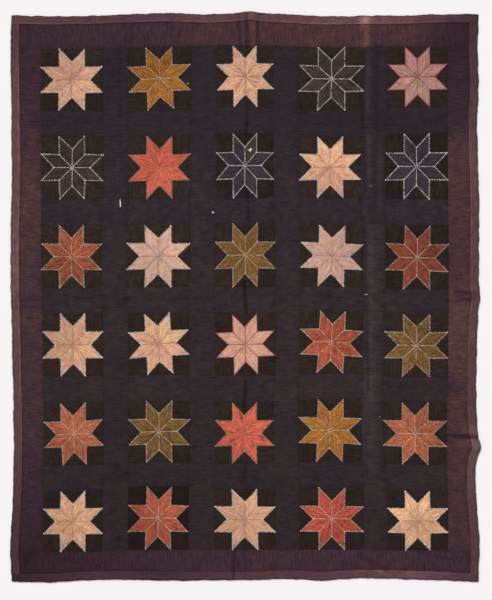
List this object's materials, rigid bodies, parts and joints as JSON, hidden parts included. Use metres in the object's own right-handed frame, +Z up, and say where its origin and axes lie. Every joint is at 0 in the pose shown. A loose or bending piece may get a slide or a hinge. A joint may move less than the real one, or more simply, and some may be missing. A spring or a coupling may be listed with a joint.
{
  "type": "star quilt",
  "caption": "Pieced patchwork quilt of eight-pointed stars in sashed rows, with plain borders and a bound edge, lying flat and face up.",
  "frame": {"origin": "middle of the outline, on the surface that the quilt lies on", "axes": "+Y towards the head edge, +X towards the right edge as seen from the face, +Z up out of the face"},
  "size_m": [1.7888, 2.1746, 0.011],
  "materials": {
    "peach": "matt woven cotton",
    "ochre": "matt woven cotton",
    "charcoal": "matt woven cotton",
    "rose_tan": "matt woven cotton",
    "coral": "matt woven cotton",
    "navy": "matt woven cotton",
    "apricot": "matt woven cotton",
    "rust": "matt woven cotton",
    "pale_pink": "matt woven cotton",
    "moss": "matt woven cotton",
    "maroon": "matt woven cotton",
    "pink": "matt woven cotton",
    "brick": "matt woven cotton",
    "olive": "matt woven cotton",
    "salmon": "matt woven cotton",
    "straw": "matt woven cotton",
    "rose_red": "matt woven cotton",
    "ground": "matt woven cotton",
    "sash": "matt woven cotton",
    "border": "matt woven cotton",
    "binding": "matt woven cotton"
  },
  "bodies": {
    "root": {"column_1": "ground", "column_2": "ground", "column_3": "ground", "column_4": "ground", "column_5": "ground", "long_sash_1": "sash", "long_sash_2": "sash", "long_sash_3": "sash", "long_sash_4": "sash", "border_left": "border", "border_right": "border", "border_head": "border", "border_foot": "border", "binding_left": "binding", "binding_right": "binding", "binding_head": "binding", "binding_foot": "binding", "star_1_1": "peach", "star_1_2": "ochre", "star_1_3": "peach", "star_1_4": "charcoal", "star_1_5": "rose_tan", "star_2_1": "charcoal", "star_2_2": "coral", "star_2_3": "navy", "star_2_4": "apricot", "star_2_5": "navy", "star_3_1": "rust", "star_3_2": "pale_pink", "star_3_3": "moss", "star_3_4": "pale_pink", "star_3_5": "maroon", "star_4_1": "apricot", "star_4_2": "apricot", "star_4_3": "pink", "star_4_4": "brick", "star_4_5": "olive", "star_5_1": "salmon", "star_5_2": "olive", "star_5_3": "coral", "star_5_4": "ochre", "star_5_5": "salmon", "star_6_1": "straw", "star_6_2": "brick", "star_6_3": "peach", "star_6_4": "rose_red", "star_6_5": "straw"}
  },
  "joints": []
}
